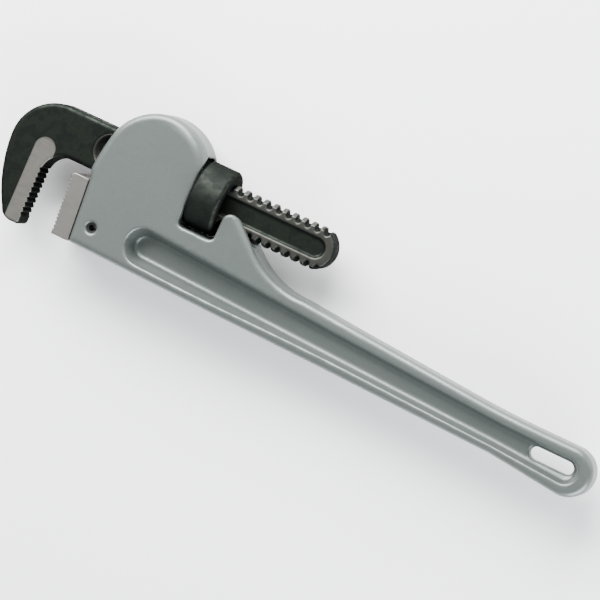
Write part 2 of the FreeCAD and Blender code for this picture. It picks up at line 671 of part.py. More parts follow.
def make_nut():
    """The round adjusting nut with its internal thread."""
    body = new_body("adjusting_nut")
    section = new_sketch(body, "nut_section")
    bore = "({root_radius} + thread_play_radial)"
    draw_loop(section, [
        ("{nut_left}", bore),
        ("{nut_right}", bore),
        ("{nut_right}", "nut_radius - nut_chamfer"),
        ("{nut_right} - nut_chamfer", "nut_radius"),
        ("{nut_left} + nut_chamfer", "nut_radius"),
        ("{nut_left}", "nut_radius - nut_chamfer"),
    ])
    ring = body.newObject("PartDesign::Revolution", "nut_ring")
    ring.Profile = section
    ring.ReferenceAxis = (origin_item(body, "X_Axis"), [""])
    settle(body, ring, 0, grows=True)

    turns = math.ceil(size("nut_length/thread_pitch")) + 2
    profile = new_sketch(body, "nut_groove")
    centre = f"thread_crest_x - {math.ceil(turns / 2)}*thread_pitch"
    low = f"({bore} - cutter_over)"
    high = "(shank_radius + thread_play_radial)"
    # Half the width of the shank's crest at a radius, plus the play on the flank.
    crest = "(thread_pitch/2 - thread_root_half + thread_play_axial - flank_slope*({0} - {{root_radius}}))"
    draw_loop(profile, [
        (f"{centre} - {crest.format(low)}", low),
        (f"{centre} + {crest.format(low)}", low),
        (f"{centre} + {crest.format(high)}", high),
        (f"{centre} - {crest.format(high)}", high),
    ])
    cut_thread(body, profile, turns)
    return body


# ---------------------------------------------------------------- heel jaw and pin


def make_heel_jaw():
    """The toothed steel block that seats on the handle, with its pinned tongue."""
    body = new_body("heel_jaw")
    block = new_sketch(body, "heel_outline")
    draw_loop(block, [
        ("heel_tooth_x + heel_corner", "heel_top_y"),
        ("heel_tooth_x", "heel_top_y - heel_corner", "heel_corner", "left"),
        ("heel_tooth_x + heel_lean", "belly_left_y"),
        ("seat_bottom_x", "belly_left_y"),
        ("seat_top_x", "heel_top_y"),
    ])
    feature(body, "Pad", "heel_block", block, "heel_thickness", symmetric=True)

    tongue = new_sketch(body, "tongue_outline")
    draw_loop(tongue, [
        ("seat_top_x - 1", "belly_left_y + tongue_up"),
        ("seat_top_x + tongue_length", "belly_left_y + tongue_up"),
        ("seat_top_x + tongue_length", "heel_top_y - 1"),
        ("seat_top_x - 1", "heel_top_y - 1"),
    ])
    feature(body, "Pad", "heel_tongue", tongue, "tongue_thickness", symmetric=True)

    teeth = new_sketch(body, "heel_teeth_outline")
    draw_teeth(teeth, "heel_tooth_x", "heel_tooth_x + heel_lean", "heel_top_y - heel_corner - fine_margin",
               "belly_left_y + fine_margin", "fine_pitch", "fine_depth", 1)
    feature(body, "Pocket", "heel_teeth", teeth, "heel_thickness*2", symmetric=True)

    hole = new_sketch(body, "heel_hole_outline")
    draw_circle(hole, "pin_x", "pin_y", "pin_diameter/2 + pin_play")
    feature(body, "Pocket", "heel_hole", hole, "heel_thickness*2", symmetric=True)
    return body


def make_heel_pin():
    """The rolled spring pin that holds the heel jaw."""
    body = new_body("heel_jaw_pin")
    ring = new_sketch(body, "pin_section")
    draw_circle(ring, "pin_x", "pin_y", "pin_diameter/2")
    draw_circle(ring, "pin_x", "pin_y", "pin_diameter/2 - pin_wall")
    feature(body, "Pad", "pin_tube", ring, "head_thickness - 2*pin_sink", symmetric=True)
    slit = new_sketch(body, "pin_slit_outline")
    draw_loop(slit, [
        ("pin_x", "pin_y - pin_slit/2"),
        ("pin_x + pin_diameter", "pin_y - pin_slit/2"),
        ("pin_x + pin_diameter", "pin_y + pin_slit/2"),
        ("pin_x", "pin_y + pin_slit/2"),
    ])
    feature(body, "Pocket", "pin_slit_cut", slit, "head_thickness*2", symmetric=True)
    return body


# ---------------------------------------------------------------- springs


def make_leaf():
    """The bowed flat spring between the housing's roof and the neck."""
    body = new_body("flat_spring")
    strip = new_sketch(body, "leaf_outline")
    top = "{roof_y}"
    touch = "({neck_top} + leaf_gap)"
    thick = "leaf_thickness"
    rise = f"({top} - {touch} - {thick})"
    bow = f"(((rivet_x - leaf_flat - leaf_touch_x)^2 + {rise}^2)/(2*{rise}))"
    curl = "(((leaf_touch_x - leaf_left_x)^2 + leaf_curl^2)/(2*leaf_curl))"
    draw_loop(strip, [
        ("leaf_right_x", top),
        ("rivet_x - leaf_flat", top),
        ("leaf_touch_x", f"{touch} + {thick}", bow, "right"),
        ("leaf_left_x", f"{touch} + {thick} + leaf_curl", curl, "right"),
        ("leaf_left_x", f"{touch} + leaf_curl"),
        ("leaf_touch_x", touch, curl, "left"),
        ("rivet_x - leaf_flat", f"{top} - {thick}", bow, "left"),
        ("leaf_right_x", f"{top} - {thick}"),
    ])
    feature(body, "Pad", "leaf_strip", strip, "leaf_width", symmetric=True)
    hole = new_sketch(body, "leaf_hole_outline", "XZ_Plane", "-{roof_y} - 1")
    draw_circle(hole, "rivet_x", "0", "rivet_diameter/2")
    feature(body, "Pocket", "leaf_hole", hole, "leaf_thickness + 2", flip=True)
    return body


def make_rivet():
    """The drive rivet that holds the flat spring to the roof."""
    body = new_body("flat_spring_rivet")
    section = new_sketch(body, "rivet_section")
    head = "({roof_y} - leaf_thickness)"
    draw_loop(section, [
        ("rivet_x", f"{head} - rivet_head_height"),
        ("rivet_x + rivet_head/2 - rivet_bevel", f"{head} - rivet_head_height"),
        ("rivet_x + rivet_head/2", f"{head} - rivet_brim"),
        ("rivet_x + rivet_head/2", head),
        ("rivet_x + rivet_diameter/2", head),
        ("rivet_x + rivet_diameter/2", "{roof_y} + rivet_grip - rivet_point"),
        ("rivet_x + rivet_diameter/2 - rivet_point", "{roof_y} + rivet_grip"),
        ("rivet_x", "{roof_y} + rivet_grip"),
    ])
    turned = body.newObject("PartDesign::Revolution", "rivet_turned")
    turned.Profile = section
    turned.ReferenceAxis = (section, ["Edge1"])
    settle(body, turned, 0, grows=True)
    return body


def make_coil():
    """The coil spring that pushes the neck toward the back of the housing."""
    body = new_body("coil_spring")
    wire = new_sketch(body, "coil_section")
    low = "({floor_y} - coil_well)"
    draw_circle(wire, "coil_radius", f"{low} + coil_wire/2", "coil_wire/2")
    coil = body.newObject("PartDesign::AdditiveHelix", "coil_wire_feature")
    coil.Profile = wire
    coil.ReferenceAxis = (origin_item(body, "Y_Axis"), [""])
    coil.Mode = "height-turns-angle"
    bind(coil, "Height", f"{{neck_bottom}} - {low} - coil_wire - leaf_gap")
    bind(coil, "Turns", "coil_turns")
    settle(body, coil, 0, grows=True)
    return body


# ---------------------------------------------------------------- the whole wrench

PIECES = [
    make_handle(),
    make_hook_jaw(),
    make_nut(),
    make_heel_jaw(),
    make_heel_pin(),
    make_leaf(),
    make_rivet(),
    make_coil(),
]
doc.recompute()
AXIS_X = {"coil_spring": size("coil_x")}

for piece in PIECES:
    piece.Placement = FreeCAD.Placement(Vector(AXIS_X.get(piece.Label, 0), 0, 0), FreeCAD.Rotation())
doc.recompute()
box = FreeCAD.BoundBox()
for piece in PIECES:
    box.add(piece.Shape.optimalBoundingBox(False))
shift = Vector(-box.Center.x, -box.Center.y, -box.ZMin)
for piece in PIECES:
    piece.Placement = FreeCAD.Placement(piece.Placement.Base + shift, FreeCAD.Rotation())
doc.recompute()

for item in doc.Objects:
    if "Invalid" in item.State or "Error" in item.State:
        raise RuntimeError(f"{item.Name} failed: {item.State}")
for piece in PIECES:
    if piece.Shape.isNull() or not piece.Shape.isValid() or len(piece.Shape.Solids) != 1:
        raise RuntimeError(f"{piece.Label} has no valid solid")

os.makedirs("parts", exist_ok=True)
for piece in PIECES:
    piece.Shape.exportStep(os.path.join("parts", f"{piece.Label}.step"))
    print(piece.Label, round(piece.Shape.Volume), piece.Shape.optimalBoundingBox(False))
print("shift", shift)
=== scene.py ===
"""Looks of a straight pipe wrench with a cast handle, a forged hook jaw, a round nut and a steel heel jaw.

The CAD part gives the exact bodies. Each piece class below takes its CAD body, softens the edges the way the
real casting, forging or grinding leaves them, and gives the piece its finish. Lengths in the classes are in
millimetres in the wrench's own axes: origin on the shank's axis at the thread's zero, +X toward the grip's
end, +Y toward the round back of the housing, +Z up.
"""

import logging
import math
from dataclasses import dataclass
from enum import Enum
from typing import Optional, Sequence

import bpy
import numpy as np
import openvdb
from mathutils import Matrix, Vector


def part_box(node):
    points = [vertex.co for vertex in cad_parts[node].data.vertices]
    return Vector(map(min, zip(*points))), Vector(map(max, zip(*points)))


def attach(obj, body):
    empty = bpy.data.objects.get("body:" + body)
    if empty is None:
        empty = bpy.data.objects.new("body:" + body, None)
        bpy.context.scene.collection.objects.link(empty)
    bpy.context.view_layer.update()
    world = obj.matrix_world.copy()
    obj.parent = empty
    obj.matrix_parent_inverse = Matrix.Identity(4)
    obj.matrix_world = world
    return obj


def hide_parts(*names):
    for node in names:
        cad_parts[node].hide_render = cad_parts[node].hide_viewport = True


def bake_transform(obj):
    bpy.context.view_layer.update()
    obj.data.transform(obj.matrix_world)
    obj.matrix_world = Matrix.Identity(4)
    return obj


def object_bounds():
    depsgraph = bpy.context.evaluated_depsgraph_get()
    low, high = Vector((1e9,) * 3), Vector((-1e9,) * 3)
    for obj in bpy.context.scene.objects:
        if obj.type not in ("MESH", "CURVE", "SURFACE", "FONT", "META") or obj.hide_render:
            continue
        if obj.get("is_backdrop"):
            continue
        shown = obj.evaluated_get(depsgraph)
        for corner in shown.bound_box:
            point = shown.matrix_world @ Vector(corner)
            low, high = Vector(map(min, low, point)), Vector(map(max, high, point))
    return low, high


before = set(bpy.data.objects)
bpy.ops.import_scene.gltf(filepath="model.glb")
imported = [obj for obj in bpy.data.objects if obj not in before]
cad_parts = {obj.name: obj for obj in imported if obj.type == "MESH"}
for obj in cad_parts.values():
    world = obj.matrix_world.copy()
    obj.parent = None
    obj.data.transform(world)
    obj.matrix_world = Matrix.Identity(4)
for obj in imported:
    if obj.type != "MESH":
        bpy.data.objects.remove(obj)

LOG = logging.getLogger("pipe_wrench")
MM = 0.001
NUT_MIDDLE_X = 1.4  # the nut's middle along the shank's axis, mm
# A pass draws each point in by the first share, then pushes it out by the second: the solid keeps its size.
DRAW_IN, PUSH_OUT = 0.5, -0.52
# Colour patches, grain, worn edges and hollows darkened by grime and painted shade each show between these
# values of their pattern.
PATCH_SHOWS = (0.38, 0.62)
NOISE_SPAN = (0.3, 0.7)
RAGGED_SPAN = (0.35, 0.65)
GRIME_AND_SHADE_SPAN = (0.497, 0.455)
RIDGE_SPAN = (0.515, 0.56)
PIT_SPAN = (0.06, 0.24)
Colour = tuple[float, float, float, float]


class Body(Enum):
    """The moving bodies of the wrench."""

    HANDLE = "handle_body"
    SEAT = "spring_seat"
    HOOK = "hook"
    NUT = "nut"


class Mask(Enum):
    """Painted per-point amounts that a finish can read."""

    # Bare and rubbed steel on the hook jaw, and the painted highlight on its channel ring.
    BARE_AND_PAINTED_HIGHLIGHT = "bare_steel_and_painted_highlight"
    NONE = ""


# ------------------------------------------------------------------------------------------- colour and nodes


def hex_colour(code: str) -> Colour:
    """Turns an sRGB hex code into the linear colour that shaders use.

    Args:
        code: six hex digits, such as "8c908d".

    Returns:
        Red, green, blue and alpha, linear.
    """
    channels = [int(code[i:i + 2], 16) / 255 for i in (0, 2, 4)]
    linear = [c / 12.92 if c <= 0.04045 else ((c + 0.055) / 1.055) ** 2.4 for c in channels]
    return (linear[0], linear[1], linear[2], 1.0)


def add_node(tree: bpy.types.NodeTree, kind: str, settings: Optional[dict] = None,
             links: Optional[dict] = None) -> bpy.types.Node:
    """Adds one node, sets its properties and sockets and links its inputs.

    Args:
        tree: the material's node tree.
        kind: Blender's name of the node type.
        settings: property names, or socket names and numbers, with their values.
        links: input socket names or numbers with the output sockets that feed them.

    Returns:
        The new node.
    """
    node = tree.nodes.new(kind)
    for name, value in (settings or {}).items():
        if isinstance(name, str) and hasattr(node, name):
            setattr(node, name, value)
        else:
            node.inputs[name].default_value = value
    for name, source in (links or {}).items():
        tree.links.new(source, node.inputs[name])
    return node


@dataclass(frozen=True)
class Finish:
    """One metal finish: its colour, gloss, grain, how its edges wear and how its hollows are darkened by
    grime and painted shade.

    Attributes:
        name: the material's name.
        slot: the record's material slot. Not used.
        colour: sRGB hex of the surface.
        tint: sRGB hex that it drifts to in broad patches.
        patch: size of those patches, mm.
        metallic: 1 for plain metal.
        roughness: mean roughness.
        spread: how far the roughness varies.
        grain: size of the fine grain along X, Y and Z, mm. Unequal sizes give a direction.
        grain_depth: height of the grain, mm.
        swell: size of the slow unevenness under it, mm.
        swell_depth: height of that, mm.
        worn: sRGB hex of rubbed edges.
        wear: how much the edges are rubbed, 0 to 1.
        grime_and_shade_colour: sRGB hex of the grime and painted shade in the hollows.
        grime_and_shade_amount: how much the hollows are darkened by grime and painted shade, 0 to 1.
        pit: size of scattered pits, mm, 0 for none.
        pit_depth: their depth, mm.
        glance: how much of a metal's glare at low angles is left, 0 to 1. A matt oxide loses most of it.
    """

    name: str
    slot: str
    colour: str
    tint: str
    patch: float
    metallic: float
    roughness: float
    spread: float
    grain: tuple[float, float, float]
    grain_depth: float
    swell: float
    swell_depth: float
    worn: str
    wear: float
    grime_and_shade_colour: str
    grime_and_shade_amount: float
    pit: float = 0.0
    pit_depth: float = 0.0
    glance: float = 1.0

    def shader(self, tree: bpy.types.NodeTree) -> bpy.types.NodeSocket:
        """Builds this finish's nodes in a tree.

        Args:
            tree: the material's node tree.

        Returns:
            The shader output.
        """
        place = add_node(tree, "ShaderNodeTexCoord").outputs["Object"]
        in_mm = add_node(tree, "ShaderNodeMapping", {"Scale": (1 / MM, 1 / MM, 1 / MM)},
                         {"Vector": place}).outputs[0]
        along = tuple(1 / size for size in self.grain)
        grained = add_node(tree, "ShaderNodeMapping", {"Scale": along}, {"Vector": in_mm}).outputs[0]
        patch = add_node(tree, "ShaderNodeTexNoise",
                         {"Scale": 1 / self.patch, "Detail": 3.0, "Roughness": 0.55},
                         {"Vector": in_mm}).outputs[0]
        grain = add_node(tree, "ShaderNodeTexNoise", {"Scale": 1.0, "Detail": 4.0, "Roughness": 0.62},
                         {"Vector": grained}).outputs[0]
        swell = add_node(tree, "ShaderNodeTexNoise", {"Scale": 1 / self.swell, "Detail": 2.0},
                         {"Vector": in_mm}).outputs[0]

        mottled = self._mix(tree, patch, PATCH_SHOWS, hex_colour(self.colour), hex_colour(self.tint))
        speckle = self._range(tree, grain, NOISE_SPAN, (0.93, 1.05))
        spread = add_node(tree, "ShaderNodeMix", {"data_type": "RGBA", "blend_type": "MULTIPLY", 0: 1.0},
                          {6: mottled, 7: speckle}).outputs[2]

        point = add_node(tree, "ShaderNodeNewGeometry").outputs["Pointiness"]
        ragged = self._range(tree, grain, RAGGED_SPAN, (0.35, 1.0))
        # Concave points turn toward the dark colour: real grime in the hollows, plus painted shade where the
        # hollows would be shaded.
        grime_and_shade_mask = self._range(tree, point, GRIME_AND_SHADE_SPAN, (0.0, self.grime_and_shade_amount))
        ridge = self._range(tree, point, RIDGE_SPAN, (0.0, self.wear))
        rubbed = add_node(tree, "ShaderNodeMath", {"operation": "MULTIPLY"}, {0: ridge, 1: ragged}).outputs[0]
        darkened_for_grime_and_shade = self._mix(tree, grime_and_shade_mask, (0, 1), spread, hex_colour(self.grime_and_shade_colour))
        colour = self._mix(tree, rubbed, (0, 1), darkened_for_grime_and_shade, hex_colour(self.worn))

        rough = self._range(tree, patch, NOISE_SPAN,
                            (self.roughness - self.spread, self.roughness + self.spread))
        fine = self._range(tree, grain, NOISE_SPAN, (0.9, 1.1))
        roughness = add_node(tree, "ShaderNodeMath", {"operation": "MULTIPLY"},
                             {0: rough, 1: fine}).outputs[0]

        normal = self._bump(tree, swell, self.swell_depth, None)
        normal = self._bump(tree, grain, self.grain_depth, normal)
        if self.pit:
            cells = add_node(tree, "ShaderNodeTexVoronoi", {"Scale": 1 / self.pit},
                             {"Vector": in_mm}).outputs[0]
            pits = self._range(tree, cells, PIT_SPAN, (0.0, 1.0))
            normal = self._bump(tree, pits, self.pit_depth, normal)
        skin = add_node(tree, "ShaderNodeBsdfPrincipled",
                        {"Metallic": self.metallic,
                         "Specular Tint": (self.glance, self.glance, self.glance, 1.0)},
                        {"Base Color": colour, "Roughness": roughness, "Normal": normal})
        return skin.outputs[0]

    @staticmethod
    def _range(tree: bpy.types.NodeTree, value: bpy.types.NodeSocket, reach: tuple[float, float],
               to: tuple[float, float]) -> bpy.types.NodeSocket:
        """Maps a value from one range to another, smoothly where the range rises.

        Args:
            tree: the material's node tree.
            value: the output to map.
            reach: the range it comes in.
            to: the range it goes to.

        Returns:
            The mapped output.
        """
        return add_node(tree, "ShaderNodeMapRange",
                        {"interpolation_type": "SMOOTHSTEP" if reach[0] < reach[1] else "LINEAR",
                         "From Min": reach[0], "From Max": reach[1], "To Min": to[0], "To Max": to[1]},
                        {"Value": value}).outputs[0]

    @classmethod
    def _mix(cls, tree: bpy.types.NodeTree, amount: bpy.types.NodeSocket, reach: tuple[float, float],
             first: object, second: Colour) -> bpy.types.NodeSocket:
        """Mixes a colour or colour output toward a second colour.

        Args:
            tree: the material's node tree.
            amount: the output that says how much of the second colour shows.
            reach: the range of that output over which it shows; (0, 1) takes it as it is.
            first: a colour, or the output that gives it.
            second: the second colour.

        Returns:
            The mixed output.
        """
        share = amount if reach == (0, 1) else cls._range(tree, amount, reach, (0.0, 1.0))
        node = add_node(tree, "ShaderNodeMix", {"data_type": "RGBA", 7: second}, {0: share})
        if isinstance(first, tuple):
            node.inputs[6].default_value = first
        else:
            tree.links.new(first, node.inputs[6])
        return node.outputs[2]

    @staticmethod
    def _bump(tree: bpy.types.NodeTree, height: bpy.types.NodeSocket, depth: float,
              under: Optional[bpy.types.NodeSocket]) -> bpy.types.NodeSocket:
        """Adds a bump of a real depth on top of another.

        Args:
            tree: the material's node tree.
            height: the pattern's output.
            depth: its height, mm.
            under: the normal of the bump below, if there is one.

        Returns:
            The normal.
        """
        links = {"Height": height}
        if under is not None:
            links["Normal"] = under
        return add_node(tree, "ShaderNodeBump", {"Strength": 1.0, "Distance": depth * MM}, links).outputs[0]


def make_material(finish: Finish, over: Optional[Finish] = None,
                  mask: Mask = Mask.NONE) -> bpy.types.Material:
    """Makes a material of one finish, or of two where a mask shows the second.

    Args:
        finish: the main finish.
        over: a finish shown where the mask is 1.
        mask: the per-point amount to read.

    Returns:
        The material.
    """
    material = bpy.data.materials.new(finish.name)
    material.use_nodes = True
    tree = material.node_tree
    tree.nodes.clear()
    surface = finish.shader(tree)
    if over is not None:
        amount = add_node(tree, "ShaderNodeAttribute", {"attribute_name": mask.value}).outputs["Fac"]
        both = add_node(tree, "ShaderNodeMixShader", {}, {0: amount, 1: surface, 2: over.shader(tree)})
        surface = both.outputs[0]
    add_node(tree, "ShaderNodeOutputMaterial", {}, {"Surface": surface})
    return material


# Satin silver-grey enamel over the sand-cast aluminium: the soft, slightly green-grey body of the wrench. Its
# aluminium flake makes it partly metallic. The casting's grain of about 0.3 mm is drawn at 0.7 mm so that it
# shows, with rare 1.7 mm spaced pits.
ENAMEL = Finish(
    name="cast_aluminium_enamel", slot="cast_aluminium", colour="5a605d", tint="565d5a", patch=26,
    metallic=0.62, roughness=0.42, spread=0.03, grain=(0.7, 0.7, 0.7), grain_depth=0.012, swell=7,
    swell_depth=0.05, worn="787e7d", wear=0.35, grime_and_shade_colour="3b4040", grime_and_shade_amount=0.5, pit=1.7, pit_depth=0.008,
)
# Black oxide on the drop-forged steel: dark, slightly green and dull, with forging scale in 6 mm patches and
# its fine grit drawn at 0.6 mm so that it shows. The oxide is matt, so little glare is left at low angles.
BLACK_OXIDE = Finish(
    name="black_oxide_forging", slot="blackened_forging", colour="1f231f", tint="171a18", patch=6,
    metallic=0.9, roughness=0.52, spread=0.08, grain=(0.6, 0.6, 0.6), grain_depth=0.02, swell=3.5,
    swell_depth=0.09, worn="434643", wear=0.45, grime_and_shade_colour="0b0c0b", grime_and_shade_amount=0.6, pit=1.3, pit_depth=0.02,
    glance=0.3,
)
# Steel milled bare beside the teeth: the bright strip, with the cutter's lines. Feed marks 0.1 mm apart are
# drawn 0.16 mm apart so that they show.
# Laid thinly on the hook's channel ring, this finish is also a painted highlight.
MILLED = Finish(
    name="milled_steel", slot="blackened_forging", colour="71706b", tint="6b6863", patch=5, metallic=0.9,
    roughness=0.42, spread=0.05, grain=(6.0, 0.16, 0.4), grain_depth=0.01, swell=3.0, swell_depth=0.01,
    worn="7f7f7b", wear=0.3, grime_and_shade_colour="423f39", grime_and_shade_amount=0.5,
)
# Black oxide on the turned nut: as dark as the forging and smoother, with turning lines 0.25 mm apart.
NUT_OXIDE = Finish(
    name="black_oxide_nut", slot="blackened_nut", colour="232623", tint="1c1f1d", patch=7, metallic=0.95,
    roughness=0.6, spread=0.05, grain=(0.25, 2.0, 2.0), grain_depth=0.008, swell=4.0, swell_depth=0.02,
    worn="3a3d3a", wear=0.5, grime_and_shade_colour="0a0b0a", grime_and_shade_amount=0.5, glance=0.3,
)
# Ground tool steel of the heel jaw: warm bare grey, with grinding lines drawn 0.14 mm apart so that they
# show.
GROUND = Finish(
    name="ground_tool_steel", slot="bare_steel", colour="787671", tint="706e69", patch=6, metallic=0.85,
    roughness=0.42, spread=0.05, grain=(5.0, 0.14, 0.3), grain_depth=0.008, swell=4.0, swell_depth=0.015,
    worn="8c8b85", wear=0.35, grime_and_shade_colour="44413c", grime_and_shade_amount=0.6,
)
# Darkened spring steel of the rolled pin and the rivet: almost black in its hole.
PIN_STEEL = Finish(
    name="darkened_pin_steel", slot="pin_steel", colour="313131", tint="272728", patch=2, metallic=0.9,
    roughness=0.42, spread=0.06, grain=(0.3, 0.3, 1.5), grain_depth=0.008, swell=1.5, swell_depth=0.01,
    worn="67686a", wear=0.4, grime_and_shade_colour="111111", grime_and_shade_amount=0.6,
)
# Blued spring steel of the two springs: dark, with a cool sheen along the drawn wire.
SPRING_STEEL = Finish(
    name="blued_spring_steel", slot="spring_steel", colour="494d52", tint="3d4046", patch=3,
    metallic=0.95, roughness=0.33, spread=0.05, grain=(2.0, 0.3, 0.3), grain_depth=0.005, swell=3.0,
    swell_depth=0.01, worn="797d82", wear=0.3, grime_and_shade_colour="1a1c1f", grime_and_shade_amount=0.5,
)


# ------------------------------------------------------------------------------------------- solids


@dataclass
class Shell:
    """A closed surface: points in millimetres with triangles and quads."""

    points: np.ndarray
    triangles: np.ndarray
    quads: np.ndarray

    @classmethod
    def of_node(cls, node: str, datum: Vector) -> "Shell":
        """Reads a CAD node in the wrench's own axes.

        Args:
            node: the node's name.
            datum: the wrench's origin in the scene, metres.

        Returns:
            The node's surface.
        """
        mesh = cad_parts[node].data
        points = np.zeros(len(mesh.vertices) * 3, np.float32)
        mesh.vertices.foreach_get("co", points)
        points = (points.reshape(-1, 3) - np.array(datum, np.float32)) / MM
        mesh.calc_loop_triangles()
        triangles = np.zeros(len(mesh.loop_triangles) * 3, np.int32)
        mesh.loop_triangles.foreach_get("vertices", triangles)
        return cls(points.astype(np.float32), triangles.reshape(-1, 3).astype(np.uint32),
                   np.zeros((0, 4), np.uint32))

    def field(self, voxel: float, reach: float) -> openvdb.FloatGrid:
        """Measures the distance to this surface on a grid.

        Args:
            voxel: the grid's spacing, mm.
            reach: how far from the surface the distance is kept, mm.

        Returns:
            The distance grid, negative inside.
        """
        transform = openvdb.createLinearTransform(voxelSize=voxel)
        return openvdb.FloatGrid.createLevelSetFromPolygons(
            self.points, triangles=self.triangles, quads=self.quads, transform=transform,
            halfWidth=reach / voxel + 3)

    def moved_out(self, voxel: float, by: float) -> "Shell":
        """The surface a distance further out, or further in when negative."""
        points, quads = self.field(voxel, abs(by)).convertToQuads(by)
        return Shell(np.ascontiguousarray(points, np.float32), np.zeros((0, 3), np.uint32),
                     np.ascontiguousarray(quads, np.uint32))

    def edges_rounded(self, voxel: float, radius: float) -> "Shell":
        """The surface with its outer edges rounded to a radius."""
        return self.moved_out(voxel, -radius).moved_out(voxel, radius)

    def corners_filled(self, voxel: float, radius: float) -> "Shell":
        """The surface with its inner corners filled to a radius."""
        return self.moved_out(voxel, radius).moved_out(voxel, -radius)

    def relaxed(self, passes: int) -> "Shell":
        """The surface with each point drawn toward its neighbours, to take out small steps.

        Args:
            passes: how many times.

        Returns:
            The smoother surface, of the same size.
        """
        ends = np.concatenate([self.quads[:, [i, (i + 1) % 4]] for i in range(4)]).astype(np.int64)
        points = self.points.astype(np.float64)
        count = sum(np.bincount(ends[:, side], minlength=len(points)) for side in (0, 1))
        for step in range(passes * 2):
            total = np.zeros_like(points)
            for axis in range(3):
                total[:, axis] = (
                    np.bincount(ends[:, 0], weights=points[ends[:, 1], axis], minlength=len(points))
                    + np.bincount(ends[:, 1], weights=points[ends[:, 0], axis], minlength=len(points)))
            pull = total / count[:, None] - points
            points = points + pull * (DRAW_IN if step % 2 == 0 else PUSH_OUT)
        return Shell(points.astype(np.float32), self.triangles, self.quads)

    def mesh(self, name: str, datum: Vector) -> bpy.types.Mesh:
        """Makes a smooth-shaded Blender mesh in the scene's frame.

        Args:
            name: the mesh's name.
            datum: the wrench's origin in the scene, metres.

        Returns:
            The mesh, in metres, with its faces outward.
        """
        mesh = bpy.data.meshes.new(name)
        points = self.points * MM + np.array(datum, np.float32)
        faces = self.quads[:, ::-1].astype(np.int32)
        mesh.vertices.add(len(points))
        mesh.vertices.foreach_set("co", points.astype(np.float32).ravel())
        mesh.loops.add(faces.size)
        mesh.loops.foreach_set("vertex_index", faces.ravel())
        mesh.polygons.add(len(faces))
        mesh.polygons.foreach_set("loop_start", np.arange(0, faces.size, 4, dtype=np.int32))
        mesh.update(calc_edges=True)
        mesh.shade_smooth()
        if self.volume(faces) < 0:
            mesh.flip_normals()
        return mesh

    def volume(self, faces: np.ndarray) -> float:
        """Signed volume, positive when the faces look outward, mm3."""
        p = self.points.astype(np.float64)
        a, b, c, d = (p[faces[:, i]] for i in range(4))
        return float((np.cross(a, b) * c).sum() + (np.cross(a, c) * d).sum()) / 6


@dataclass
class Piece:
    """A piece of the wrench modelled over its CAD body.

    Attributes:
        datum: the wrench's origin in the scene, metres.
        node: the CAD node it stands for.
        body: the moving body that carries it.
        finish: its main finish.
        voxel: detail size, mm.
        edge: radius of its outer edges, mm.
        corner: radius of its inner corners, mm, 0 to leave them.
        passes: how many times the surface is relaxed.
    """

    datum: Vector
    node: str
    body: Body
    finish: Finish
    voxel: float
    edge: float
    corner: float = 0.0
    passes: int = 2

    def solid(self) -> Shell:
        """The piece's surface with its softened edges and corners."""
        shell = Shell.of_node(self.node, self.datum)
        if self.corner:
            shell = shell.corners_filled(self.voxel, self.corner)
        return shell.edges_rounded(self.voxel, self.edge).relaxed(self.passes)

    def material(self) -> bpy.types.Material:
        """The piece's material."""
        return make_material(self.finish)

    def paint(self, mesh: bpy.types.Mesh, points: np.ndarray) -> None:
        """Writes the piece's masks onto its mesh. A plain piece has none."""

    def kept_inside(self, shell: Shell) -> Shell:
        """Holds every point inside the CAD body's box.

        Args:
            shell: the piece's surface.

        Returns:
            The held surface.
        """
        low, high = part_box(self.node)
        low_mm = (np.array(low) - np.array(self.datum)) / MM
        high_mm = (np.array(high) - np.array(self.datum)) / MM
        return Shell(np.clip(shell.points, low_mm, high_mm).astype(np.float32), shell.triangles, shell.quads)

    def attach(self, thing: bpy.types.Object) -> None:
        """Fixes the piece to the body that carries it."""
        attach(thing, self.body.value)

    def build(self) -> bpy.types.Object:
        """Builds, dresses and attaches the piece.

        Returns:
            The finished object.
        """
        shell = self.kept_inside(self.solid())
        mesh = shell.mesh(self.node + "_visual", self.datum)
        self.paint(mesh, shell.points)
        thing = bpy.data.objects.new(self.node + "_visual", mesh)
        bpy.context.scene.collection.objects.link(thing)
        mesh.materials.append(self.material())
        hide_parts(self.node)
        self.attach(thing)
        LOG.info("%s: %d faces", self.node, len(shell.quads))
        return thing


@dataclass
class CastHandle(Piece):
    """The aluminium casting: housing, window, ears and I-beam grip, with soft cast edges.

    Attributes:
        head: centre of the housing's round back, X and Y.
        head_radius: its radius.
        half_thickness: the housing's side face from the middle plane.
        wide_round: radius of the housing's rim on the nut's side, where the casting is rounder.
        round_from: degrees round the head where the wide round is whole.
        round_to: degrees round the head where it has faded to the common one.
    """

    head: tuple[float, float] = (-35.6, 1.8)
    head_radius: float = 33.2
    half_thickness: float = 15.0
    wide_round: float = 7.5
    round_from: float = 55.0
    round_to: float = 110.0

    def solid(self) -> Shell:
        """The casting with its softened edges and the wider round beside the nut."""
        shell = super().solid()
        points = shell.points.astype(np.float64)
        dx, dy, height = points[:, 0] - self.head[0], points[:, 1] - self.head[1], points[:, 2]
        reach = np.maximum(np.hypot(dx, dy), 1e-6)
        out = reach - self.head_radius + self.wide_round
        up = np.abs(height) - self.half_thickness + self.wide_round
        corner = (out > 0) & (up > 0)
        length = np.maximum(np.hypot(out, up), 1e-6)
        angle = np.degrees(np.arctan2(dy, dx))
        share = np.clip((self.round_to - angle) / (self.round_to - self.round_from), 0, 1)
        share = share * share * (3 - 2 * share) * (angle > 0)
        excess = np.where(corner, np.maximum(length - self.wide_round, 0), 0) * share
        points[:, 0] -= excess * out / length * dx / reach
        points[:, 1] -= excess * out / length * dy / reach
        points[:, 2] -= excess * up / length * np.sign(height)
        return Shell(points.astype(np.float32), shell.triangles, shell.quads)


